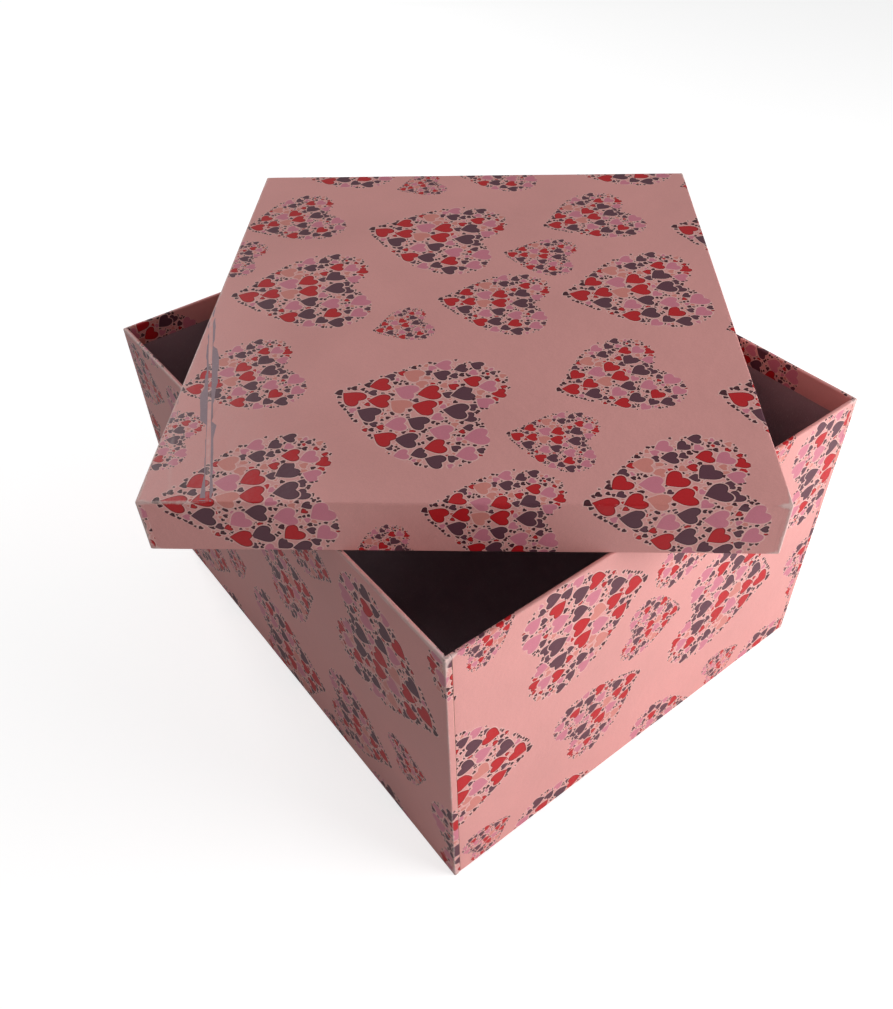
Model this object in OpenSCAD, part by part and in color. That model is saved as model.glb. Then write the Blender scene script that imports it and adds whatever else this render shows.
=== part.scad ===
// Two-piece rigid flower box: a deep greyboard tray covered in printed paper,
// with a shallow lift-off lid lying turned across its open rim.
// Origin: centre of the base's underside. +Z up, the base's front wall faces -Y.

/* [Base] */
// Outside width of the base, left to right
base_width = 250; // [120:1:400]
// Outside depth of the base, front to back
base_depth = 290; // [120:1:450]
// Height of the base, underside to rim
base_height = 171; // [60:1:300]

/* [Lid] */
// How much wider and deeper than the base the lid is
lid_oversize = 6.5; // [5:0.1:14]
// Height of the lid, its skirt included
lid_height = 27; // [24:1:60]
// Angle the lid has been turned through as it lies on the rim
lid_turn = -39.7; // [-90:0.1:90]
// Sideways shift of the lid's centre from the base's centre
lid_shift_x = 8.2; // [-15:0.1:15]
// Front-to-back shift of the lid's centre from the base's centre
lid_shift_y = 8.7; // [-15:0.1:15]
// Clearance between the lid's skirt and the base's rim
lid_clearance = 0.3; // [0.1:0.1:1]

/* [Board and paper] */
// Thickness of the greyboard
board = 2; // [1.2:0.1:3]
// Thickness of the printed cover paper with its glue
paper = 0.2; // [0.1:0.05:0.4]
// How far the cover paper is turned in over an open edge
turn_in = 13; // [8:1:18]
// Width of the side covers' flap that shows round each corner
corner_flap = 3.5; // [3.5:0.5:12]
// Width of the wall covers' lap that shows round the base's underside
under_lap = 3; // [1:0.5:10]

/* [Corner stays] */
// Width of each leg of the paper stay round a corner
stay_leg = 20; // [10:1:30]
// Thickness of the stay, pressed flush into the board
stay = 0.15; // [0.1:0.05:0.3]
// Gap between the end of a stay and the end of its corner
stay_margin = 2; // [1:0.5:5]

/* [Hidden] */

// A tray is [width, depth, height]. The lid is one too, turned upside down.
base = [base_width, base_depth, base_height];
lid = [base_width + lid_oversize, base_depth + lid_oversize, lid_height];

skin = paper + board;       // outside face to the board's inner face
wall = paper + board + paper; // outside face to the turned-in paper's face
lid_top_z = base_height + lid_clearance + lid_height;

greyboard = [0.56, 0.53, 0.50];
stay_tape = [0.62, 0.50, 0.36];
print_pink = [0.86, 0.60, 0.58];
print_rose = [0.82, 0.55, 0.54];

// ---- Shared pieces of a tray that stands on its closed panel, open side up ----

module panel_board(tray) {
  translate([-tray.x / 2 + skin, -tray.y / 2 + skin, paper])
    cube([tray.x - 2 * skin, tray.y - 2 * skin, board]);
}

// L-shaped stay in the front left corner
module corner_stay(tray) {
  translate([-tray.x / 2 + paper, -tray.y / 2 + paper, paper + stay_margin])
    linear_extrude(tray.z - 2 * (paper + stay_margin))
      polygon([
        [0, 0], [stay_leg, 0], [stay_leg, stay],
        [stay, stay], [stay, stay_leg], [0, stay_leg]
      ]);
}

module at_corner(right, back) {
  mirror([right, 0, 0]) mirror([0, back, 0]) children();
}

module all_corner_stays(tray) {
  for (right = [0, 1], back = [0, 1]) at_corner(right, back) corner_stay(tray);
}

// The front board covers the ends of the left and right boards
module front_wall_board(tray) {
  difference() {
    translate([-tray.x / 2 + paper, -tray.y / 2 + paper, paper])
      cube([tray.x - 2 * paper, board, tray.z - 2 * paper]);
    all_corner_stays(tray);
  }
}

module left_wall_board(tray) {
  difference() {
    translate([-tray.x / 2 + paper, -tray.y / 2 + skin, paper])
      cube([board, tray.y - 2 * skin, tray.z - 2 * paper]);
    all_corner_stays(tray);
  }
}

// Flat sheet over the closed panel, set in from the tray's outside by inset
module panel_cover(tray, inset) {
  translate([-tray.x / 2 + inset, -tray.y / 2 + inset, 0])
    cube([tray.x - 2 * inset, tray.y - 2 * inset, paper]);
}

// Wall paper, rim and turn-in of the front, cut short of both corners
module front_wall_cover(tray) {
  translate([-tray.x / 2 + corner_flap, -tray.y / 2, 0])
    cube([tray.x - 2 * corner_flap, paper, tray.z]);
  translate([-tray.x / 2 + wall, -tray.y / 2 + paper, tray.z - paper])
    cube([tray.x - 2 * wall, wall - paper, paper]);
  translate([-tray.x / 2 + wall, -tray.y / 2 + skin, tray.z - turn_in])
    cube([tray.x - 2 * wall, paper, turn_in]);
}

// Wall paper, rim and turn-in of the left side, with a flap round each corner
module left_wall_cover(tray) {
  translate([-tray.x / 2, -tray.y / 2, 0])
    linear_extrude(tray.z)
      polygon([
        [0, 0], [corner_flap, 0], [corner_flap, paper], [paper, paper],
        [paper, tray.y - paper], [corner_flap, tray.y - paper],
        [corner_flap, tray.y], [0, tray.y]
      ]);
  translate([-tray.x / 2, -tray.y / 2 + paper, tray.z - paper])
    cube([wall, tray.y - 2 * paper, paper]);
  translate([-tray.x / 2 + skin, -tray.y / 2 + skin, tray.z - turn_in])
    cube([paper, tray.y - 2 * skin, turn_in]);
}

// The walls' papers lap under the base and meet the bottom sheet's edge
module front_under_lap(tray) {
  translate([-tray.x / 2 + under_lap, -tray.y / 2 + paper, 0])
    cube([tray.x - 2 * under_lap, under_lap - paper, paper]);
}

module left_under_lap(tray) {
  translate([-tray.x / 2 + paper, -tray.y / 2 + paper, 0])
    cube([under_lap - paper, tray.y - 2 * paper, paper]);
}

// ---- Base ----

module base_bottom_board() { color(greyboard) panel_board(base); }
module base_front_board() { color(greyboard) front_wall_board(base); }
module base_back_board() { color(greyboard) at_corner(0, 1) front_wall_board(base); }
module base_left_board() { color(greyboard) left_wall_board(base); }
module base_right_board() { color(greyboard) at_corner(1, 0) left_wall_board(base); }

module base_stay_front_left() { color(stay_tape) corner_stay(base); }
module base_stay_front_right() { color(stay_tape) at_corner(1, 0) corner_stay(base); }
module base_stay_back_left() { color(stay_tape) at_corner(0, 1) corner_stay(base); }
module base_stay_back_right() { color(stay_tape) at_corner(1, 1) corner_stay(base); }

module base_cover_bottom() { color(print_rose) panel_cover(base, under_lap); }

module base_front_sheet() {
  front_wall_cover(base);
  front_under_lap(base);
}

module base_left_sheet() {
  left_wall_cover(base);
  left_under_lap(base);
}

module base_cover_front() { color(print_pink) base_front_sheet(); }
module base_cover_back() { color(print_pink) at_corner(0, 1) base_front_sheet(); }
module base_cover_left() { color(print_rose) base_left_sheet(); }
module base_cover_right() { color(print_rose) at_corner(1, 0) base_left_sheet(); }

// ---- Lid, lying turned across the rim ----

module on_the_rim() {
  translate([lid_shift_x, lid_shift_y, lid_top_z])
    rotate([0, 0, lid_turn]) mirror([0, 0, 1]) children();
}

module lid_top_board() { color(greyboard) on_the_rim() panel_board(lid); }
module lid_front_board() { color(greyboard) on_the_rim() front_wall_board(lid); }
module lid_back_board() { color(greyboard) on_the_rim() at_corner(0, 1) front_wall_board(lid); }
module lid_left_board() { color(greyboard) on_the_rim() left_wall_board(lid); }
module lid_right_board() { color(greyboard) on_the_rim() at_corner(1, 0) left_wall_board(lid); }

module lid_stay_front_left() { color(stay_tape) on_the_rim() corner_stay(lid); }
module lid_stay_front_right() { color(stay_tape) on_the_rim() at_corner(1, 0) corner_stay(lid); }
module lid_stay_back_left() { color(stay_tape) on_the_rim() at_corner(0, 1) corner_stay(lid); }
module lid_stay_back_right() { color(stay_tape) on_the_rim() at_corner(1, 1) corner_stay(lid); }

// One sheet covers the top and is folded down all round
module lid_cover() {
  color(print_pink) on_the_rim() {
    panel_cover(lid, paper);
    for (back = [0, 1]) at_corner(0, back) front_wall_cover(lid);
    for (right = [0, 1]) at_corner(right, 0) left_wall_cover(lid);
  }
}

base_bottom_board();
base_front_board();
base_back_board();
base_left_board();
base_right_board();
base_stay_front_left();
base_stay_front_right();
base_stay_back_left();
base_stay_back_right();
base_cover_bottom();
base_cover_front();
base_cover_back();
base_cover_left();
base_cover_right();
lid_top_board();
lid_front_board();
lid_back_board();
lid_left_board();
lid_right_board();
lid_stay_front_left();
lid_stay_front_right();
lid_stay_back_left();
lid_stay_back_right();
lid_cover();
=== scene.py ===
from math import radians

import bmesh
import bpy
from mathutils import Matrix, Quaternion, Vector


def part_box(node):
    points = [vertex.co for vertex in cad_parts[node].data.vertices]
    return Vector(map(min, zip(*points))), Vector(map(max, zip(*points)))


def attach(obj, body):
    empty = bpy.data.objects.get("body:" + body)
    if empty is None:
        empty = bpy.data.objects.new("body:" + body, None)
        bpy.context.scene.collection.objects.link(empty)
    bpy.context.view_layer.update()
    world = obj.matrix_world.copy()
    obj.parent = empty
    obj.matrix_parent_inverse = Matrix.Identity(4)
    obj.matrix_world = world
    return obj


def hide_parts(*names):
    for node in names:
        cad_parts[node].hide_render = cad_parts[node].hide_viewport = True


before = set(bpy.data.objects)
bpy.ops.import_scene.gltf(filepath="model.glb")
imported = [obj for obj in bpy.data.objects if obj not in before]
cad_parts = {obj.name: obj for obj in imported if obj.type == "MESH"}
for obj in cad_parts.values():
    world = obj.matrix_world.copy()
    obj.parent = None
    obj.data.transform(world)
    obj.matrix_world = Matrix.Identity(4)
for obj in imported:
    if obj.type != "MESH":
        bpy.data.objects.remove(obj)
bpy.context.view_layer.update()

# ---- Camera and studio ----
# The box stands on a pale floor and is looked down on from above its front left corner. A broad lamp, low
# on the right, lights the front wall. A weak window behind and its bright sill give the lid and the folds
# their sheen, and pale walls all round fill in the other sides.
CAMERA_PLACE = Vector((-0.24685, -0.31763, 0.44815))
CAMERA_AIM = Vector((-0.02890, -0.01783, 0.10000))
CAMERA_ROLL = radians(-2.19)
CAMERA_LENS = 33.58
LAMPS = [                 # name, which way it lies from the box, distance, width, power in watts
    ("lamp", (0.53, -0.80, 0.37), 1.05, 0.78, 9.1),
    ("window", (-0.09, 0.76, 0.62), 1.50, 0.60, 4.1),
    ("sill", (-0.03, 0.96, 0.24), 1.50, 0.50, 4.0),
]
FILL_STRENGTH = 0.210
WALL_GLOW = 0.72          # how much brighter than that the pale walls look
FLOOR_SIZE = 12.0
FLOOR_PALE = (0.72, 0.72, 0.72, 1)
FLOOR_GLOW = 0.66         # how much the floor is lifted towards white where it is looked at


def deselect():
    bpy.ops.object.select_all(action="DESELECT")


def add_node(tree, kind, **settings):
    node = tree.nodes.new(kind)
    for name, value in settings.items():
        setattr(node, name, value)
    return node


def feed(tree, socket, value):
    """Links an output to a socket, or sets the socket to a plain value."""
    if isinstance(value, bpy.types.NodeSocket):
        tree.links.new(value, socket)
    elif value is not None:
        socket.default_value = value


def new_material(name, **plain):
    """A material with one Principled BSDF, whose sockets are set to these plain values."""
    material = bpy.data.materials.new(name)
    material.use_nodes = True
    shader = material.node_tree.nodes["Principled BSDF"]
    for socket, value in plain.items():
        shader.inputs[socket.replace("_", " ")].default_value = value
    return material, material.node_tree, shader


camera_data = bpy.data.cameras.new("camera")
camera_data.sensor_width = 36
camera_data.lens = CAMERA_LENS
camera = bpy.data.objects.new("camera", camera_data)
bpy.context.scene.collection.objects.link(camera)
camera.location = CAMERA_PLACE
camera.rotation_mode = "QUATERNION"
facing = (CAMERA_AIM - CAMERA_PLACE).to_track_quat("-Z", "Y")
camera.rotation_quaternion = facing @ Quaternion((0, 0, 1), CAMERA_ROLL)
bpy.context.scene.camera = camera
bpy.context.scene.view_settings.view_transform = "Standard"

for name, towards, distance, width, power in LAMPS:
    lamp_data = bpy.data.lights.new(name, "AREA")
    lamp_data.shape = "DISK"
    lamp_data.size = width
    lamp_data.energy = power
    lamp = bpy.data.objects.new(name, lamp_data)
    bpy.context.scene.collection.objects.link(lamp)
    lamp.visible_glossy = name != "lamp"      # the broad one would glare off the lid's top from behind
    lamp.location = Vector(towards).normalized() * distance
    lamp.rotation_mode = "QUATERNION"
    lamp.rotation_quaternion = (-lamp.location).to_track_quat("-Z", "Y")

studio = bpy.data.worlds.new("studio")
studio.use_nodes = True
background = studio.node_tree.nodes["Background"]
background.inputs["Color"].default_value = (1, 1, 1, 1)
seen = add_node(studio.node_tree, "ShaderNodeLightPath").outputs["Is Camera Ray"]
strength = add_node(studio.node_tree, "ShaderNodeMath", operation="MULTIPLY_ADD")
for socket, term in zip(strength.inputs, (seen, WALL_GLOW, FILL_STRENGTH)):
    feed(studio.node_tree, socket, term)
feed(studio.node_tree, background.inputs["Strength"], strength.outputs[0])
bpy.context.scene.world = studio

deselect()
bpy.ops.mesh.primitive_plane_add(size=FLOOR_SIZE)
floor = bpy.context.object
floor.name = "floor"
floor_paint, tree, shader = new_material("floor_paint", Base_Color=FLOOR_PALE, Roughness=0.9)
light_path = add_node(tree, "ShaderNodeLightPath")
glow = add_node(tree, "ShaderNodeMath", operation="MULTIPLY")
feed(tree, glow.inputs[0], light_path.outputs["Is Camera Ray"])
feed(tree, glow.inputs[1], FLOOR_GLOW)
feed(tree, shader.inputs["Emission Strength"], glow.outputs[0])
shader.inputs["Emission Color"].default_value = (1, 1, 1, 1)
floor.data.materials.append(floor_paint)

# ---- Greyboard ----
# Both trays are five flat pieces of 2 mm greyboard, die-cut and stood on edge round the bottom. It is made
# of pulped waste paper, so it is grey with short fibres and specks, and its cut edges are crushed round.
BOARD = 0.002
PAPER = 0.0002
FOLD_RADIUS = 0.0009      # outside the paper
SKIN = PAPER + BOARD      # a wall's thickness below its turned-in paper
WALL = PAPER + BOARD + PAPER
BASE_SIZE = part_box("base_cover_left")[1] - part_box("base_cover_left")[0]
BASE_SIZE.x = 2 * abs(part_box("base_cover_left")[0].x)
LID_OVERSIZE = 0.0065
LID_HEIGHT = 0.027
LID_SIZE = Vector((BASE_SIZE.x + LID_OVERSIZE, BASE_SIZE.y + LID_OVERSIZE, LID_HEIGHT))
LID_TURN = radians(-39.7)
LID_MIDDLE = (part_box("lid_top_board")[0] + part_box("lid_top_board")[1]) / 2
LID_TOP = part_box("lid_cover")[1].z
BOARD_GREY = (0.46, 0.335, 0.375, 1)
BOARD_DARK = (0.42, 0.305, 0.342, 1)
FIBRE_PALE = (0.55, 0.44, 0.47, 1)
BOARD_FIBRES = 1400.0     # to the metre
BOARD_RELIEF = 0.00012
PULP_GRAIN = (1.0, 1.0, 0.45)
PULP_CLOUDS = 45.0        # to the metre


def calc(tree, operation, *terms):
    node = add_node(tree, "ShaderNodeMath", operation=operation)
    for socket, term in zip(node.inputs, terms):
        feed(tree, socket, term)
    return node.outputs[0]


def new_group(name, inputs, outputs):
    """A shader node group with these named sockets, given as {name: kind}."""
    tree = bpy.data.node_groups.new(name, "ShaderNodeTree")
    for socket, kind in inputs.items():
        tree.interface.new_socket(socket, in_out="INPUT", socket_type="NodeSocket" + kind)
    for socket, kind in outputs.items():
        tree.interface.new_socket(socket, in_out="OUTPUT", socket_type="NodeSocket" + kind)
    return tree, tree.nodes.new("NodeGroupInput").outputs, tree.nodes.new("NodeGroupOutput").inputs


def use_group(tree, group, values):
    node = add_node(tree, "ShaderNodeGroup", node_tree=group)
    for name, value in values.items():
        feed(tree, node.inputs[name], value)
    return node.outputs


def noise(tree, place, scale, detail, roughness):
    node = add_node(tree, "ShaderNodeTexNoise")
    feed(tree, node.inputs["Vector"], place)
    feed(tree, node.inputs["Scale"], scale)
    feed(tree, node.inputs["Detail"], detail)
    feed(tree, node.inputs["Roughness"], roughness)
    return node.outputs["Fac"]


def mix(tree, share, one, other):
    node = add_node(tree, "ShaderNodeMix", data_type="RGBA")
    feed(tree, node.inputs[0], share)
    feed(tree, node.inputs[6], one)
    feed(tree, node.inputs[7], other)
    return node.outputs[2]


def spread(tree, value, low, high, to_low=0.0, to_high=1.0):
    """Stretches low..high to to_low..to_high, held at both ends."""
    node = add_node(tree, "ShaderNodeMapRange")
    for socket, term in zip(node.inputs, (value, low, high, to_low, to_high)):
        feed(tree, socket, term)
    return node.outputs[0]


def make_pulp_group():
    """Short fibres and specks pressed into a sheet of pulp."""
    tree, given, out = new_group(
        "pressed_pulp",
        {"Place": "Vector", "Fibres per metre": "Float"},
        {"Fibre": "Float", "Cloud": "Float", "Height": "Float"},
    )
    bent = add_node(tree, "ShaderNodeVectorMath", operation="MULTIPLY")
    feed(tree, bent.inputs[0], given["Place"])
    bent.inputs[1].default_value = PULP_GRAIN
    fine = noise(tree, bent.outputs[0], given["Fibres per metre"], 3.0, 0.6)
    cloud = noise(tree, given["Place"], PULP_CLOUDS, 3.0, 0.55)
    feed(tree, out["Fibre"], spread(tree, fine, 0.58, 0.72))
    feed(tree, out["Cloud"], spread(tree, cloud, 0.35, 0.65))
    feed(tree, out["Height"], calc(tree, "MULTIPLY_ADD", cloud, 0.6, fine))
    return tree


def add_bump(tree, shader, height, distance):
    node = add_node(tree, "ShaderNodeBump")
    node.inputs["Strength"].default_value = 1.0
    node.inputs["Distance"].default_value = distance
    feed(tree, node.inputs["Height"], height)
    feed(tree, shader.inputs["Normal"], node.outputs[0])


def make_greyboard():
    material, tree, shader = new_material("greyboard", Roughness=0.88, Specular_IOR_Level=0.25)
    place = add_node(tree, "ShaderNodeTexCoord").outputs["Object"]
    pulp = use_group(tree, pressed_pulp, {"Place": place, "Fibres per metre": BOARD_FIBRES})
    cloudy = mix(tree, pulp["Cloud"], BOARD_DARK, BOARD_GREY)
    feed(tree, shader.inputs["Base Color"], mix(tree, pulp["Fibre"], cloudy, FIBRE_PALE))
    add_bump(tree, shader, pulp["Height"], BOARD_RELIEF)
    return material


pressed_pulp = make_pulp_group()
greyboard = make_greyboard()


def apply_modifier(piece, kind, **settings):
    modifier = piece.modifiers.new(kind.lower(), kind)
    for name, value in settings.items():
        setattr(modifier, name, value)
    bpy.context.view_layer.objects.active = piece
    bpy.ops.object.modifier_apply(modifier=modifier.name)


def settle(piece):
    """Applies the piece's place, turn and size, so its object sits at the origin."""
    deselect()
    piece.select_set(True)
    bpy.context.view_layer.objects.active = piece
    bpy.ops.object.transform_apply(location=True, rotation=True, scale=True)


def lay_on_rim(piece):
    """Takes a lid piece, made upright round the origin with its top at z 0, to where the lid lies."""
    piece.rotation_euler = (0, 0, LID_TURN)
    piece.location = (LID_MIDDLE.x, LID_MIDDLE.y, LID_TOP)
    settle(piece)


def pick(piece, kind, wanted):
    """Selects, in edit mode, the verts, edges or faces that pass the test."""
    bpy.ops.mesh.select_mode(type={"verts": "VERT", "edges": "EDGE", "faces": "FACE"}[kind])
    bpy.ops.mesh.select_all(action="DESELECT")
    mesh = bmesh.from_edit_mesh(piece.data)
    for element in getattr(mesh, kind):
        if wanted(element):
            element.select_set(True)
    mesh.select_flush_mode()
    bmesh.update_edit_mesh(piece.data)


def cut_board(name, size, middle):
    """A board of this size, with the edges that the paper is folded over crushed round."""
    deselect()
    bpy.ops.mesh.primitive_cube_add(size=1)
    board = bpy.context.object
    board.name = name
    board.scale = size
    board.location = middle
    settle(board)
    bpy.ops.object.mode_set(mode="EDIT")
    bpy.ops.mesh.select_all(action="SELECT")
    bpy.ops.mesh.bevel(offset=FOLD_RADIUS - PAPER, segments=3, affect="EDGES")
    bpy.ops.object.mode_set(mode="OBJECT")
    deselect()
    return board


def cut_tray_boards(tray, size, up):
    """The five boards of a tray. up is 1 for the base, and -1 for the lid, which hangs from its top."""
    panel = "bottom" if up > 0 else "top"
    flat = Vector((size.x - 2 * SKIN, size.y - 2 * SKIN, BOARD))
    boards = {panel: cut_board(f"{tray}_{panel}_panel", flat, Vector((0, 0, up * (PAPER + BOARD / 2))))}
    for side, sign in (("front", -1), ("back", 1)):
        long_wall = Vector((size.x - 2 * PAPER, BOARD, size.z - 2 * PAPER))
        middle = Vector((0, sign * (size.y / 2 - PAPER - BOARD / 2), up * size.z / 2))
        boards[side] = cut_board(f"{tray}_{side}_wall_board", long_wall, middle)
    for side, sign in (("left", -1), ("right", 1)):
        short_wall = Vector((BOARD, size.y - 2 * SKIN, size.z - 2 * PAPER))
        middle = Vector((sign * (size.x / 2 - PAPER - BOARD / 2), 0, up * size.z / 2))
        boards[side] = cut_board(f"{tray}_{side}_wall_board", short_wall, middle)
    return boards


boards = {"base": cut_tray_boards("base", BASE_SIZE, 1), "lid": cut_tray_boards("lid", LID_SIZE, -1)}

# ---- Corner stays ----
# A strip of gummed kraft paper is folded down its middle and stuck round the outside of each upright
# corner, to hold two boards together. It is pressed in, so the printed paper lies flat over it.
STAY_LEG = 0.020
STAY_THICK = 0.00015
STAY_MARGIN = 0.002
KRAFT_BROWN = (0.36, 0.235, 0.13, 1)
KRAFT_DARK = (0.25, 0.155, 0.085, 1)
KRAFT_FIBRE = (0.50, 0.37, 0.23, 1)
KRAFT_FIBRES = 2200.0     # to the metre
KRAFT_RELIEF = 0.00006
STAY_GRID = (8, 12)
TINY = 1e-6


def make_kraft():
    material, tree, shader = new_material("kraft_stay", Roughness=0.7, Specular_IOR_Level=0.35)
    place = add_node(tree, "ShaderNodeTexCoord").outputs["Object"]
    pulp = use_group(tree, pressed_pulp, {"Place": place, "Fibres per metre": KRAFT_FIBRES})
    cloudy = mix(tree, pulp["Cloud"], KRAFT_DARK, KRAFT_BROWN)
    feed(tree, shader.inputs["Base Color"], mix(tree, pulp["Fibre"], cloudy, KRAFT_FIBRE))
    add_bump(tree, shader, pulp["Height"], KRAFT_RELIEF)
    return material


def turn_picked(angle, axis, centre):
    """Turns the picked verts about an axis through centre, by the right-hand rule."""
    bpy.ops.transform.rotate(value=-angle, orient_axis=axis, orient_type="GLOBAL", center_override=centre)


def fold_stay(name, size, right, back, up):
    """A strip as long as the corner, folded along its middle and set at one corner of a tray."""
    long = size.z - 2 * (PAPER + STAY_MARGIN)
    deselect()
    bpy.ops.mesh.primitive_grid_add(x_subdivisions=STAY_GRID[0], y_subdivisions=STAY_GRID[1], size=1)
    stay = bpy.context.object
    stay.name = name
    stay.scale = (2 * STAY_LEG, long, 1)
    settle(stay)
    bpy.ops.object.mode_set(mode="EDIT")
    pick(stay, "verts", lambda vert: vert.co.x < -TINY)
    turn_picked(radians(-90), "Y", (0, 0, 0))
    pick(stay, "edges", lambda edge: edge.calc_face_angle(0) > 1)
    bpy.ops.mesh.bevel(offset=FOLD_RADIUS - PAPER, segments=4, affect="EDGES")
    bpy.ops.object.mode_set(mode="OBJECT")
    apply_modifier(stay, "SOLIDIFY", thickness=STAY_THICK, offset=-1)
    stay.rotation_euler = (radians(90), 0, 0)
    settle(stay)
    stay.scale = (1 - 2 * right, 1 - 2 * back, 1)
    corner_x = (2 * right - 1) * (size.x / 2 - PAPER)
    corner_y = (2 * back - 1) * (size.y / 2 - PAPER)
    stay.location = (corner_x, corner_y, up * size.z / 2)
    settle(stay)
    bpy.ops.object.mode_set(mode="EDIT")
    bpy.ops.mesh.select_all(action="SELECT")
    bpy.ops.mesh.normals_make_consistent(inside=False)
    bpy.ops.object.mode_set(mode="OBJECT")
    deselect()
    return stay


kraft_stay = make_kraft()
for tray, size, up in (("base", BASE_SIZE, 1), ("lid", LID_SIZE, -1)):
    stays = {}
    for back, end in enumerate(("front", "back")):
        for right, side in enumerate(("left", "right")):
            stays[f"{end}_{side}"] = fold_stay(f"{tray}_{end}_{side}_stay", size, right, back, up)
    for side, board in boards[tray].items():
        for corner, stay in stays.items():
            if side in corner:
                apply_modifier(board, "BOOLEAN", operation="DIFFERENCE", object=stay, solver="EXACT")
    for corner, stay in stays.items():
        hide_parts(f"{tray}_stay_{corner}")
        stay.data.materials.append(kraft_stay)
    for side, board in boards[tray].items():
        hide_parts(f"{tray}_{side}_board")
        board.data.materials.append(greyboard)
    for piece in (*boards[tray].values(), *stays.values()):
        if tray == "lid":
            lay_on_rim(piece)
        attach(piece, tray)

# ---- Heart print ----
# The paper is printed on a pink ground with big hearts, each a mosaic of small loose hearts in four inks.
# The same artwork is scaled and turned for every big heart, and the whole repeats as a tile.
REPEAT = (0.1693, 0.155)
BIG_HEARTS = [            # middle in millimetres, width in millimetres, where its tip points in degrees
    ((-22, 70), 78, 167),
    ((-87, 11), 74, 188),
    ((66, 90), 57, 202),
    ((12, 0), 58, 175),
    ((37, 47), 40, 171),
    ((-32, -21.5), 30, 200),
]
HEART_STRETCH = 1.16      # how much its height is squeezed
HEART_LIFT = 0.15         # where its middle lies
HEART_LEAN = 1.12         # how far its lobes are sheared up at the middle
HEART_ROUND = 0.48        # how much less they are at the sides
SMALL_DROP = 0.13         # moves a small heart's tip and lobes the same way from its own middle
EDGE_ROOM = 1.00          # how near a small heart may come to the big one's outline
CLEARANCE = 0.89          # how much room it leaves a larger small heart
HALO = 0.016              # bare ground round each small heart, of the big one's half width
HALO_SHARE = 0.9          # how much of the ground's paler tone the halo takes
OUTLINE = 0.014           # where the ink lies thicker, just inside a small heart's outline
OUTLINE_DEPTH = 0.42      # how much darker it is there
LEAST_HEART = 1e-4        # keeps a heart left out from having no width at all


def ink(red, green, blue):
    """An ink's linear colour, from its usual 0 to 255 values."""
    linear = [((c / 255 + 0.055) / 1.055) ** 2.4 if c > 10 else c / 255 / 12.92 for c in (red, green, blue)]
    return (*linear, 1)


GROUND = ink(238, 168, 163)
GROUND_HALO = ink(247, 195, 188)
PLUM, RED, SALMON, MAUVE = ink(105, 63, 76), ink(206, 33, 40), ink(229, 144, 134), ink(223, 134, 152)
DEEP_PLUM = ink(84, 38, 48)
LARGE_INKS = ((0, PLUM), (0.36, RED), (0.62, SALMON), (0.79, MAUVE))
MIDDLE_INKS = ((0, PLUM), (0.36, RED), (0.60, SALMON), (0.78, MAUVE))
LESSER_INKS = ((0, DEEP_PLUM), (0.50, RED), (0.70, SALMON), (0.85, MAUVE))
TINY_INKS = ((0, DEEP_PLUM), (0.88, SALMON))
DARK_INKS = 0.64          # up to what chance an ink is a dark one, whose outline shows


def calc_vector(tree, operation, *terms, scale=None):
    node = add_node(tree, "ShaderNodeVectorMath", operation=operation)
    for socket, term in zip(node.inputs, terms):
        feed(tree, socket, term)
    if scale is not None:
        feed(tree, node.inputs["Scale"], scale)
    return node.outputs["Value" if operation in ("LENGTH", "DISTANCE") else "Vector"]


def parts(tree, vector):
    node = tree.nodes.new("ShaderNodeSeparateXYZ")
    feed(tree, node.inputs[0], vector)
    return node.outputs


def join(tree, x, y):
    node = tree.nodes.new("ShaderNodeCombineXYZ")
    feed(tree, node.inputs[0], x)
    feed(tree, node.inputs[1], y)
    return node.outputs[0]


def make_outline_group():
    """How far outside a heart a place is. The heart reaches 1 to each side and its tip points down."""
    tree, given, out = new_group("heart_outline", {"Place": "Vector"}, {"Distance": "Float"})
    place = parts(tree, given["Place"])
    side = calc(tree, "ABSOLUTE", place[0])
    lean = calc(tree, "MULTIPLY", side, calc(tree, "MULTIPLY_ADD", side, -HEART_ROUND, HEART_LEAN))
    rise = calc(tree, "SUBTRACT", calc(tree, "MULTIPLY_ADD", place[1], HEART_STRETCH, HEART_LIFT), lean)
    reach = calc_vector(tree, "LENGTH", join(tree, side, rise))
    feed(tree, out["Distance"], calc(tree, "SUBTRACT", reach, 1.0))
    return tree


def make_small_heart_group():
    """How far outside one small heart a place is, with the heart turned by chance."""
    tree, given, out = new_group(
        "small_heart",
        {"Place": "Vector", "Centre": "Vector", "Half width": "Float", "Chance": "Float", "Sway": "Float"},
        {"Distance": "Float"},
    )
    turn = add_node(tree, "ShaderNodeVectorRotate", rotation_type="Z_AXIS")
    feed(tree, turn.inputs["Vector"], calc_vector(tree, "SUBTRACT", given["Place"], given["Centre"]))
    sway = calc(tree, "MULTIPLY", calc(tree, "SUBTRACT", given["Chance"], 0.5), given["Sway"])
    feed(tree, turn.inputs["Angle"], sway)
    size = calc(tree, "MAXIMUM", given["Half width"], LEAST_HEART)
    local = calc_vector(tree, "SCALE", turn.outputs[0], scale=calc(tree, "DIVIDE", 1.0, size))
    local = calc_vector(tree, "ADD", local, (0, SMALL_DROP, 0))
    outside = use_group(tree, heart_outline, {"Place": local})["Distance"]
    feed(tree, out["Distance"], calc(tree, "MULTIPLY", outside, size))
    return tree


def cells(tree, place, scale, feature, randomness):
    node = add_node(tree, "ShaderNodeTexVoronoi", voronoi_dimensions="2D", feature=feature)
    feed(tree, node.inputs["Vector"], place)
    feed(tree, node.inputs["Scale"], scale)
    feed(tree, node.inputs["Randomness"], randomness)
    return node.outputs


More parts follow.
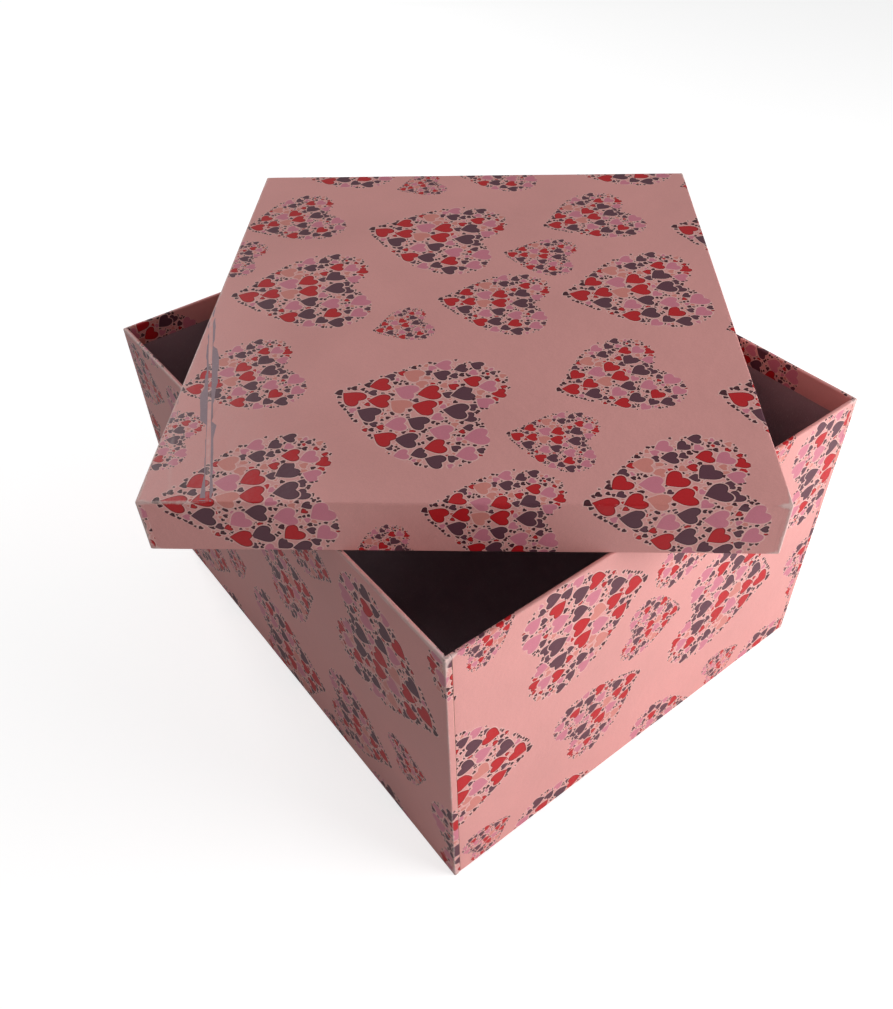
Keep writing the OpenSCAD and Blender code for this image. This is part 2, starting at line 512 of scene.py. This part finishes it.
def make_scatter_group(name, scale, randomness, fill, least, most, shift, above):
    """Scatters the small hearts of one size: gives the middle, half width and chances of the one nearest
    a place. Each is as large as fits among its neighbours, the big heart's outline and the sizes above.
    Fill is its share of the way to the nearest neighbour, and least and most limit its half width."""
    tree, given, out = new_group(
        name,
        {"Place": "Vector"},
        {"Centre": "Vector", "Half width": "Float", "Chances": "Vector", "Free": "Float"},
    )
    cell = cells(tree, calc_vector(tree, "ADD", given["Place"], shift), scale, "F1", randomness)
    gap = cells(tree, cell["Position"], scale, "F2", randomness)["Distance"]
    room = calc(tree, "MINIMUM", calc(tree, "MULTIPLY", gap, fill / 2 / scale), most)
    centre = calc_vector(tree, "SUBTRACT", cell["Position"], shift)
    outside = use_group(tree, heart_outline, {"Place": centre})["Distance"]
    room = calc(tree, "MINIMUM", room, calc(tree, "MULTIPLY", outside, -EDGE_ROOM))
    for larger in above:
        room = calc(tree, "MINIMUM", room, use_group(tree, larger, {"Place": centre})["Free"])
    room = calc(tree, "MULTIPLY", room, calc(tree, "GREATER_THAN", room, least))
    feed(tree, out["Centre"], centre)
    feed(tree, out["Half width"], room)
    feed(tree, out["Chances"], cell["Color"])
    away = calc_vector(tree, "DISTANCE", given["Place"], centre)
    feed(tree, out["Free"], calc(tree, "MULTIPLY_ADD", room, -CLEARANCE, away))
    return tree


def pick_ink(tree, chance, inks):
    """One ink of several, by chance."""
    node = tree.nodes.new("ShaderNodeValToRGB")
    node.color_ramp.interpolation = "CONSTANT"
    stops = node.color_ramp.elements
    while len(stops) < len(inks):
        stops.new(0.5)
    for stop, (position, colour) in zip(stops, inks):
        stop.position = position
        stop.color = colour
    feed(tree, node.inputs[0], chance)
    return node.outputs[0]


def make_print_group():
    """The whole print. Place is a place on the flat sheet in metres."""
    tree, given, out = new_group("heart_print", {"Place": "Vector"}, {"Colour": "Color", "Ink": "Float"})
    local, within = None, None
    half = (REPEAT[0] / 2, REPEAT[1] / 2, 1)
    for middle, width, angle in BIG_HEARTS:
        away = calc_vector(tree, "SUBTRACT", given["Place"], (middle[0] / 1000, middle[1] / 1000, 0))
        away = calc_vector(tree, "WRAP", away, half, [-c for c in half])
        turned = add_node(tree, "ShaderNodeMapping", vector_type="TEXTURE")
        feed(tree, turned.inputs["Vector"], away)
        turned.inputs["Rotation"].default_value = (0, 0, radians(angle + 90))
        turned.inputs["Scale"].default_value = (width / 2000, width / 2000, 1)
        outside = use_group(tree, heart_outline, {"Place": turned.outputs[0]})["Distance"]
        inside = calc(tree, "LESS_THAN", outside, 0.0)
        term = calc_vector(tree, "SCALE", turned.outputs[0], scale=inside)
        local = term if local is None else calc_vector(tree, "ADD", local, term)
        within = inside if within is None else calc(tree, "ADD", within, inside)
    colour, inked = GROUND, 0.0
    for scatter, inks, sway in SCATTERS:
        near = use_group(tree, scatter, {"Place": local})
        chances = parts(tree, near["Chances"])
        heart = {"Place": local, "Centre": near["Centre"], "Half width": near["Half width"]}
        outside = use_group(tree, small_heart, {**heart, "Chance": chances[2], "Sway": sway})["Distance"]
        bare = calc(tree, "MULTIPLY", calc(tree, "LESS_THAN", outside, HALO), within)
        colour = mix(tree, calc(tree, "MULTIPLY", bare, HALO_SHARE), colour, GROUND_HALO)
        covered = calc(tree, "MULTIPLY", calc(tree, "LESS_THAN", outside, 0.0), within)
        edge = calc(tree, "GREATER_THAN", outside, -OUTLINE)
        edge = calc(tree, "MULTIPLY", edge, calc(tree, "LESS_THAN", chances[0], DARK_INKS))
        thick = calc(tree, "MULTIPLY_ADD", edge, -OUTLINE_DEPTH, 1.0)
        laid = pick_ink(tree, chances[0], inks)
        laid = calc_vector(tree, "SCALE", laid, scale=thick)
        colour = mix(tree, covered, colour, laid)
        inked = calc(tree, "MAXIMUM", inked, covered)
    feed(tree, out["Colour"], colour)
    feed(tree, out["Ink"], inked)
    return tree


heart_outline = make_outline_group()
small_heart = make_small_heart_group()
large_hearts = make_scatter_group(
    "large_hearts", 3.3, 0.42, 1.03, 0.07, 0.17, (6.1, 1.4, 0), []
)
middle_hearts = make_scatter_group(
    "middle_hearts", 5.6, 0.55, 1.03, 0.034, 0.10, (5.3, 2.2, 0), [large_hearts]
)
lesser_hearts = make_scatter_group(
    "lesser_hearts", 9.0, 0.66, 1.02, 0.021, 0.06, (2.6, 4.9, 0), [large_hearts, middle_hearts]
)
tiny_hearts = make_scatter_group(
    "tiny_hearts", 14.5, 0.80, 0.98, 0.0135, 0.03, (8.1, 6.7, 0),
    [large_hearts, middle_hearts, lesser_hearts],
)
SCATTERS = (              # hearts, their inks, how far round they turn by chance, in radians
    (tiny_hearts, TINY_INKS, 2.0),
    (lesser_hearts, LESSER_INKS, 1.5),
    (middle_hearts, MIDDLE_INKS, 1.3),
    (large_hearts, LARGE_INKS, 1.0),
)
heart_print = make_print_group()

# ---- Printed cover papers of the base ----
# Each wall has its own sheet of printed paper, glued to the board, folded over the rim and down inside. The
# left and right sheets go a little way round the corners, and the front and back ones are laid over them.
TURN_IN = 0.013
CORNER_FLAP = 0.0035
SEAM_GAP = 0.00025
UNDER_LAP = 0.003
WEAR_REACH = 0.004        # how far from a fold the wear fades out
HANDLING_REACH = 0.40     # how much further it shows on a fold that was knocked about
RUB_EDGES = (1.12, 1.38)  # nearness and raggedness together, where a rub starts and where it is full
CORNER_REACH = 0.007      # how near its end a fold wears as a corner does
CORNERS_HANDLED = 1.5     # how much each part of the base has been knocked about
# The left rim's and the uprights' pale rub is partly real wear and partly a painted highlight along those
# rounded edges.
LEFT_RIM_WEAR_AND_HIGHLIGHT = 1.1
UPRIGHTS_WEAR_AND_HIGHLIGHT = 0.8
RIMS_HANDLED = 0.45
WALLS_HANDLED = 0.2
UNEVEN = 0.00025
UNEVEN_PEAK = 0.88        # the clouds' brightest, which is left in place, so a sheet only sinks
UNEVEN_SPAN = 0.035
GRID_STEP = 0.012
MERGE_REACH = 1e-5
# The pale pink of rubbed paper. It is also used as a painted highlight along the left folds and the
# uprights' rounded edges.
WORN_AND_HIGHLIGHT_PINK = ink(246, 214, 208)
RUBBED_BARE = 0.8         # how much of the print a full rub takes off
GLUE_WAVES = 140.0        # to the metre, as are the next three
PEBBLES = 620.0
PAPER_FIBRES = 1700.0
FRAYS = 420.0
PEBBLE_HEIGHT = 0.26      # against the glue's waves, as are the next two
FIBRE_HEIGHT = 0.10
FRAY_HEIGHT = 0.9
PRINT_RELIEF = 0.00022
GLOSS = (0.40, 0.50)      # the varnish's roughness, where it lies thick and thin
RUBBED_DULL = 0.2         # how much rougher a full rub leaves it
INK_GLOSS = 0.04          # how much smoother it is over ink
PAPER_GREY = (0.62, 0.56, 0.52, 1)
PAPER_WHITE = (0.80, 0.74, 0.70, 1)
BACK_DARKER = 0.86
BACK_FIBRES = 3000.0      # to the metre
BACK_RELIEF = 0.00004


def make_rub_and_highlight_group():
    """Where the varnish and ink have rubbed off, and where a fold gets a painted highlight. Edge is 1 on a
    fold and 0 a little way from it, and
    Handling is how much that fold has been knocked about or painted lit, from 0 to 1 or a little over."""
    inputs = {"Edge": "Float", "Handling": "Float", "Place": "Vector"}
    tree, given, out = new_group("rubbed_and_lit_edge", inputs, {"Rubbed": "Float"})
    broad = noise(tree, given["Place"], 90.0, 3.0, 0.6)
    fine = noise(tree, given["Place"], 900.0, 3.0, 0.7)
    ragged = calc(tree, "MULTIPLY_ADD", broad, 0.5, calc(tree, "MULTIPLY", fine, 0.35))
    reached = calc(tree, "ADD", given["Edge"], calc(tree, "MULTIPLY", given["Handling"], HANDLING_REACH))
    reached = calc(tree, "ADD", reached, ragged)
    low, high = [edge + HANDLING_REACH for edge in RUB_EDGES]
    feed(tree, out["Rubbed"], spread(tree, reached, low, high))
    return tree


def make_printed_paper(name):
    """Satin paper with the heart print, slightly uneven where it was glued, and rubbed along its folds,
    with a painted highlight on some of them.
    """
    material, tree, shader = new_material(name, Specular_IOR_Level=0.42)
    flat = add_node(tree, "ShaderNodeUVMap", uv_map="sheet").outputs[0]
    place = add_node(tree, "ShaderNodeTexCoord").outputs["Object"]
    worn = add_node(tree, "ShaderNodeAttribute", attribute_name="worn").outputs["Fac"]
    printed = use_group(tree, heart_print, {"Place": flat})
    handled_and_lit = add_node(tree, "ShaderNodeAttribute", attribute_name="handled_and_lit").outputs["Fac"]
    creased = add_node(tree, "ShaderNodeAttribute", attribute_name="creased").outputs["Fac"]
    wear = {"Edge": worn, "Handling": handled_and_lit, "Place": place}
    rubbed = use_group(tree, rubbed_and_lit_edge, wear)["Rubbed"]
    flaked = spread(tree, noise(tree, place, 260.0, 2.0, 0.6), 0.35, 0.6, 0.05, 0.4)
    cracked = calc(tree, "MULTIPLY", creased, flaked)
    bare = calc(tree, "MAXIMUM", calc(tree, "MULTIPLY", rubbed, RUBBED_BARE), cracked)
    blotch = spread(tree, noise(tree, place, 22.0, 3.0, 0.5), 0.3, 0.7, 0.96, 1.03)
    grain = spread(tree, noise(tree, place, 2600.0, 2.0, 0.6), 0.25, 0.75, 0.93, 1.06)
    colour = calc_vector(tree, "SCALE", printed["Colour"], scale=calc(tree, "MULTIPLY", blotch, grain))
    # The pale rub is real wear at the corners and rims, and a painted highlight along the left folds and
    # the uprights' rounded edges.
    colour = mix(tree, bare, colour, WORN_AND_HIGHLIGHT_PINK)
    feed(tree, shader.inputs["Base Color"], colour)
    dull = calc(tree, "MULTIPLY_ADD", rubbed, RUBBED_DULL, spread(tree, blotch, 0.96, 1.03, *GLOSS))
    feed(tree, shader.inputs["Roughness"], calc(tree, "MULTIPLY_ADD", printed["Ink"], -INK_GLOSS, dull))
    glued = noise(tree, place, GLUE_WAVES, 3.0, 0.5)
    pebbled = noise(tree, place, PEBBLES, 2.0, 0.5)
    fibre = noise(tree, place, PAPER_FIBRES, 2.0, 0.5)
    height = calc(tree, "MULTIPLY_ADD", fibre, FIBRE_HEIGHT, glued)
    height = calc(tree, "MULTIPLY_ADD", pebbled, PEBBLE_HEIGHT, height)
    frayed = calc(tree, "MULTIPLY", rubbed, FRAY_HEIGHT)
    frayed = calc(tree, "MULTIPLY", noise(tree, place, FRAYS, 3.0, 0.7), frayed)
    add_bump(tree, shader, calc(tree, "ADD", height, frayed), PRINT_RELIEF)
    return material


def make_paper_back(name, colour):
    """Bare paper: the glued side of a sheet, and its cut edge."""
    material, tree, shader = new_material(name, Roughness=0.85, Specular_IOR_Level=0.3)
    place = add_node(tree, "ShaderNodeTexCoord").outputs["Object"]
    pulp = use_group(tree, pressed_pulp, {"Place": place, "Fibres per metre": BACK_FIBRES})
    darker = [c * BACK_DARKER for c in colour[:3]] + [1]
    feed(tree, shader.inputs["Base Color"], mix(tree, pulp["Cloud"], darker, colour))
    add_bump(tree, shader, pulp["Height"], BACK_RELIEF)
    return material


def cut_across(axis, places):
    """Cuts the sheet being edited along straight lines at these places on X (0) or Y (1)."""
    normal = (1, 0, 0) if axis == 0 else (0, 1, 0)
    for place in places:
        bpy.ops.mesh.select_all(action="SELECT")
        bpy.ops.mesh.bisect(plane_co=[place * n for n in normal], plane_no=normal)


def cut_sheet(name, low, high, lines_x, lines_y, waste):
    """A flat sheet in edit mode, printed side up, cut along its fold lines and trimmed of its waste."""
    deselect()
    bpy.ops.mesh.primitive_plane_add(size=1)
    sheet = bpy.context.object
    sheet.name = name
    sheet.scale = (high[0] - low[0], high[1] - low[1], 1)
    sheet.location = ((high[0] + low[0]) / 2, (high[1] + low[1]) / 2, 0)
    settle(sheet)
    bpy.ops.object.mode_set(mode="EDIT")
    for axis, lines in ((0, lines_x), (1, lines_y)):
        cut_across(axis, [line for line in lines if low[axis] + TINY < line < high[axis] - TINY])
    pick(sheet, "faces", lambda face: waste(*face.calc_center_median().xy))
    bpy.ops.mesh.delete(type="FACE")
    return sheet


def print_sheet(sheet, across, up, flip):
    """Gives the flat sheet its print: flip is -1 where the artwork is upside down on it."""
    mesh = bmesh.from_edit_mesh(sheet.data)
    layer = mesh.loops.layers.uv.verify()
    for face in mesh.faces:
        for loop in face.loops:
            loop[layer].uv = (across + flip * loop.vert.co.x, up + flip * loop.vert.co.y)
    bmesh.update_edit_mesh(sheet.data)


def fold(sheet, axis, line, wanted=lambda x, y: True, hanging=False):
    """Folds down, through a right angle, what lies further out than a line on X (0) or Y (1). With
    hanging, a flap that already hangs down from the end of that line goes along."""
    outward = 1 if line > 0 else -1

    def beyond(vert):
        out = (vert.co[axis] - line) * outward
        hangs = hanging and out > -TINY and vert.co.z < -TINY
        return (out > TINY or hangs) and wanted(vert.co.x, vert.co.y)

    pick(sheet, "verts", beyond)
    centre = (line, 0, 0) if axis == 0 else (0, line, 0)
    turn_picked(radians(90 if axis == 0 else -90) * outward, "Y" if axis == 0 else "X", centre)


def steps(low, high):
    """Places about one grid step apart between two folds, keeping clear of both."""
    count = max(1, round((high - low - 2 * WEAR_REACH) / GRID_STEP))
    room = high - low - 2 * WEAR_REACH
    return [low + WEAR_REACH + room * i / count for i in range(count + 1)]


def round_folds(sheet):
    """Joins the edges that meet at the folded corners and rounds every outer fold."""
    bpy.ops.mesh.select_all(action="SELECT")
    bpy.ops.mesh.remove_doubles(threshold=MERGE_REACH)
    pick(sheet, "edges", lambda edge: len(edge.link_faces) == 2 and edge.calc_face_angle_signed(0) > 1)
    bpy.ops.mesh.bevel(offset=FOLD_RADIUS, segments=4, affect="EDGES")


def finish_sheet(sheet, size, up, wear_and_highlight, creasing=lambda x, y, z: 0.0):
    """Leaves edit mode, notes where the sheet wears or gets a painted highlight, and gives it its
    unevenness and thickness.
    Wear_and_highlight and creasing give how much it was knocked about or painted lit, and creased, at a
    place on it."""
    bpy.ops.object.mode_set(mode="OBJECT")
    sheet.data.uv_layers[0].name = "sheet"
    worn = sheet.data.attributes.new("worn", "FLOAT", "POINT")
    handled_and_lit = sheet.data.attributes.new("handled_and_lit", "FLOAT", "POINT")
    creased = sheet.data.attributes.new("creased", "FLOAT", "POINT")
    for index, vert in enumerate(sheet.data.vertices):
        x, y, z = vert.co
        nearest = sorted((size.x / 2 - abs(x), size.y / 2 - abs(y), up * z, size.z - up * z))
        worn.data[index].value = max(0.0, 1 - nearest[1] / WEAR_REACH)
        handled_and_lit.data[index].value = wear_and_highlight(x, y, z)
        creased.data[index].value = creasing(x, y, z)
    apply_modifier(
        sheet, "DISPLACE", texture=unevenness, texture_coords="LOCAL",
        strength=UNEVEN, mid_level=UNEVEN_PEAK,
    )
    apply_modifier(
        sheet, "SOLIDIFY", thickness=PAPER, offset=-1, use_even_offset=True,
        material_offset=1, material_offset_rim=2,
    )
    bpy.ops.object.shade_smooth()
    apply_modifier(sheet, "WEIGHTED_NORMAL", weight=100)


def cover(sheet, body, nodes):
    for material in (printed_paper, paper_back, paper_edge):
        sheet.data.materials.append(material)
    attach(sheet, body)
    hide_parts(*nodes)
    deselect()


def wall_sheet(name, length, flaps, across, up):
    """One wall's sheet, standing at y 0 and facing -Y. Its flaps, if it has any, go round both corners."""
    height = BASE_SIZE.z
    rim, end = height + WALL, height + WALL + TURN_IN - PAPER
    edge = length / 2 + CORNER_FLAP if flaps else length / 2 - CORNER_FLAP - SEAM_GAP
    inner = length / 2 - WALL
    near = length / 2 if flaps else edge
    lines_x = steps(-near, near)
    for line in (near, inner, length / 2 + WALL, length / 2 + UNDER_LAP) if flaps else ():
        lines_x += [line, -line]
    lines_y = [0, height, rim, *steps(0, height), height - TURN_IN / 2, rim + TURN_IN / 2]

    def waste(x, y):
        if not flaps:
            return False
        if abs(x) > length / 2 and y < 0:
            return abs(x) < length / 2 + UNDER_LAP
        if abs(x) > length / 2 and y > height:
            return abs(x) < length / 2 + WALL
        return inner < abs(x) < length / 2 and y > rim

    sheet = cut_sheet(name, (-edge, -UNDER_LAP), (edge, end), lines_x, lines_y, waste)
    print_sheet(sheet, across, up, -1)
    fold(sheet, 1, rim)
    fold(sheet, 1, height)
    pick(sheet, "verts", lambda vert: vert.co.y < -TINY)
    turn_picked(radians(90), "X", (0, 0, 0))
    if flaps:
        fold(sheet, 0, length / 2)
        fold(sheet, 0, -length / 2)
    bpy.ops.object.mode_set(mode="OBJECT")
    sheet.rotation_euler = (radians(90), 0, 0)
    settle(sheet)
    return sheet


def base_wear_and_highlight(x, y, z):
    """The base has been knocked most at its corners and along the rims, the left one above all. The pale
    rub on the left rim and on the uprights is partly a painted highlight on those rounded edges.
    """
    along_x, along_y = BASE_SIZE.x / 2 - abs(x), BASE_SIZE.y / 2 - abs(y)
    to_end = min(z, BASE_SIZE.z - z)
    if max(along_x, along_y, to_end) < CORNER_REACH:
        return CORNERS_HANDLED
    if BASE_SIZE.z - z < WALL:
        # The left rim's extra rub is partly a painted highlight on its rounded edge.
        return LEFT_RIM_WEAR_AND_HIGHLIGHT if x < -BASE_SIZE.x / 2 + WALL else RIMS_HANDLED
    # The uprights' rub is partly a painted highlight on their rounded edges.
    return UPRIGHTS_WEAR_AND_HIGHLIGHT if max(along_x, along_y) < CORNER_FLAP + TINY else WALLS_HANDLED


unevenness = bpy.data.textures.new("unevenness", "CLOUDS")
unevenness.noise_scale = UNEVEN_SPAN
rubbed_and_lit_edge = make_rub_and_highlight_group()
printed_paper = make_printed_paper("printed_paper")
paper_back = make_paper_back("paper_back", PAPER_GREY)
paper_edge = make_paper_back("paper_edge", PAPER_WHITE)
BASE_WALLS = {            # length, quarter turns to face outwards, flaps, print across and up in mm
    "front": (BASE_SIZE.x, 0, False, 34.25, 147.75),
    "left": (BASE_SIZE.y, -1, True, 80.50, 192.75),
    "back": (BASE_SIZE.x, 2, False, 12.00, 118.00),
    "right": (BASE_SIZE.y, 1, True, 95.00, 166.00),
}
for wall, (length, turns, flaps, across, up) in BASE_WALLS.items():
    sheet = wall_sheet(f"base_{wall}_paper", length, flaps, across / 1000, up / 1000)
    out = (BASE_SIZE.y if length == BASE_SIZE.x else BASE_SIZE.x) / 2
    facing = {0: (0, -out, 0), -1: (-out, 0, 0), 2: (0, out, 0), 1: (out, 0, 0)}[turns]
    sheet.rotation_euler = (0, 0, radians(90) * turns)
    sheet.location = facing
    settle(sheet)
    bpy.ops.object.mode_set(mode="EDIT")
    round_folds(sheet)
    finish_sheet(sheet, BASE_SIZE, 1, base_wear_and_highlight)
    cover(sheet, "base", [f"base_cover_{wall}"])

# ---- Bottom sheet ----
# A trimmed sheet of the same paper is stuck under the base last of all, over the ends of the wall papers.
UNDER_PRINT = (0.041, 0.027)
edge_x = BASE_SIZE.x / 2 - UNDER_LAP - SEAM_GAP
edge_y = BASE_SIZE.y / 2 - UNDER_LAP - SEAM_GAP
under = cut_sheet(
    "base_under_paper", (-edge_x, -edge_y), (edge_x, edge_y),
    steps(-edge_x, edge_x), steps(-edge_y, edge_y), lambda x, y: False,
)
print_sheet(under, *UNDER_PRINT, 1)
bpy.ops.object.mode_set(mode="OBJECT")
under.rotation_euler = (radians(180), 0, 0)
settle(under)
bpy.ops.object.mode_set(mode="EDIT")
finish_sheet(under, BASE_SIZE, 1, base_wear_and_highlight)
cover(under, "base", ["base_cover_bottom"])

# ---- Printed cover paper of the lid ----
# One cross-shaped sheet covers the whole lid. It is folded down all round, over the skirt's lower edge and
# up inside. The left and right skirts' flaps go round the corners, under the front and back skirts.
SEAM_DEPTH = 0.00007
WORN_END = 0.030          # how much of the front fold is worn, from its left end
# The left fold's pale rub is partly real wear and partly a painted highlight along that rounded edge.
LEFT_FOLD_WEAR_AND_HIGHLIGHT = 1.2   # how much each part of the lid has been knocked about, besides its corners
FRONT_END_HANDLED = 1.0
LID_HANDLED = 0.3
CREASES = (               # where the top is creased, in the lid's own frame: from, to, height, how cracked
    ((-0.12825, -0.0090), (-0.0990, -0.14825), 0.00016, 0.9),
    ((-0.12825, -0.0820), (-0.1145, -0.14825), 0.00009, 0.5),
)
CREASE_HALF = 0.0011
CRACK_REACH = 5e-5
half_x, half_y = LID_SIZE.x / 2, LID_SIZE.y / 2
skirt, rim = LID_HEIGHT, LID_HEIGHT + WALL
end = rim + TURN_IN - PAPER
seam = half_x - CORNER_FLAP
lines_x, lines_y = steps(-seam, seam), steps(-half_y, half_y)
for sign in (-1, 1):
    lines_x.append(sign * seam)
    for out in (-WALL, 0, WALL, CORNER_FLAP, skirt / 2, skirt - WEAR_REACH, skirt, rim, rim + TURN_IN / 2):
        lines_x.append(sign * (half_x + out))
        lines_y.append(sign * (half_y + out))


def lid_waste(x, y):
    out_x, out_y = abs(x) - half_x, abs(y) - half_y
    if out_x < 0:
        return out_y > 0 and abs(x) > seam
    if out_y > CORNER_FLAP:
        return True
    if out_y > WALL:
        return False
    if out_y > 0:
        return out_x > skirt
    return out_y > -WALL and out_x > rim


def on_seam(vert, sign):
    """Whether a vert of the folded sheet lies where a flap meets the front (-1) or back (1) skirt."""
    x, y, z = vert.co
    return abs(abs(x) - seam) < TINY and abs(sign * y - half_y) < TINY and -LID_HEIGHT < z + TINY < -TINY


def from_crease(x, y, crease):
    """How far a place on the lid's top lies to one side of a crease."""
    start, run = Vector(crease[0]), Vector(crease[1]) - Vector(crease[0])
    return (Vector((x, y)) - start).dot(Vector((run.y, -run.x)).normalized())


def crease_top(sheet):
    """Scores each crease across the top, between its folds, and presses down the paper beside it."""
    def beside(vert, crease, side):
        out = from_crease(*vert.co.xy, crease)
        return vert.co.z > -TINY and abs(out - side * CREASE_HALF) < TINY

    for crease in CREASES:
        start, run = Vector(crease[0]), Vector(crease[1]) - Vector(crease[0])
        across = Vector((run.y, -run.x)).normalized()
        for side in (-1, 0, 1):
            pick(sheet, "faces", lambda face: all(vert.co.z > -TINY for vert in face.verts))
            point = start + across * side * CREASE_HALF
            bpy.ops.mesh.bisect(plane_co=(*point, 0), plane_no=(*across, 0))
        for side in (-1, 1):
            pick(sheet, "verts", lambda vert: beside(vert, crease, side))
            bpy.ops.transform.translate(value=(0, 0, -crease[2]))


def lid_creasing(x, y, z):
    """How cracked the print is at a place: only right on a crease's ridge."""
    cracked = [0.0]
    for crease in CREASES:
        if z >= -FOLD_RADIUS and abs(from_crease(x, y, crease)) < CRACK_REACH:
            cracked.append(crease[3])
    return max(cracked)


def lid_wear_and_highlight(x, y, z):
    """The lid has been knocked most at its left fold, at its corners and at the left of its front fold.
    Along the left fold the pale rub is partly a painted highlight on that rounded edge.
    """
    along_x, along_y = half_x - abs(x), half_y - abs(y)
    if max(along_x, along_y) < CORNER_REACH:
        return CORNERS_HANDLED
    if z > -WEAR_REACH and y < 0 and along_y < WEAR_REACH and x < -half_x + WORN_END:
        return FRONT_END_HANDLED
    if z > -WEAR_REACH and x < -half_x + WEAR_REACH:
        # Along the left fold the rub is partly a painted highlight on its rounded edge.
        return LEFT_FOLD_WEAR_AND_HIGHLIGHT
    return LID_HANDLED


lid_paper = cut_sheet(
    "lid_paper", (-half_x - end, -half_y - end), (half_x + end, half_y + end), lines_x, lines_y, lid_waste
)
print_sheet(lid_paper, 0, 0, 1)
for sign in (-1, 1):
    for line in (rim, skirt):
        fold(lid_paper, 0, sign * (half_x + line))
        fold(lid_paper, 1, sign * (half_y + line), lambda x, y: abs(x) < half_x - TINY)
for sign in (-1, 1):
    fold(lid_paper, 1, sign * half_y, lambda x, y: abs(x) > half_x - TINY)
for sign in (-1, 1):
    fold(lid_paper, 0, sign * half_x, hanging=True)
    fold(lid_paper, 1, sign * half_y, lambda x, y: abs(x) < half_x - TINY)
round_folds(lid_paper)
for sign in (-1, 1):
    pick(lid_paper, "edges", lambda edge: all(on_seam(vert, sign) for vert in edge.verts))
    bpy.ops.mesh.bevel(offset=SEAM_GAP, segments=2, affect="EDGES")
    pick(lid_paper, "verts", lambda vert: on_seam(vert, sign))
    bpy.ops.transform.translate(value=(0, -sign * SEAM_DEPTH, 0))
crease_top(lid_paper)
finish_sheet(lid_paper, LID_SIZE, -1, lid_wear_and_highlight, lid_creasing)
lay_on_rim(lid_paper)
cover(lid_paper, "lid", ["lid_cover"])
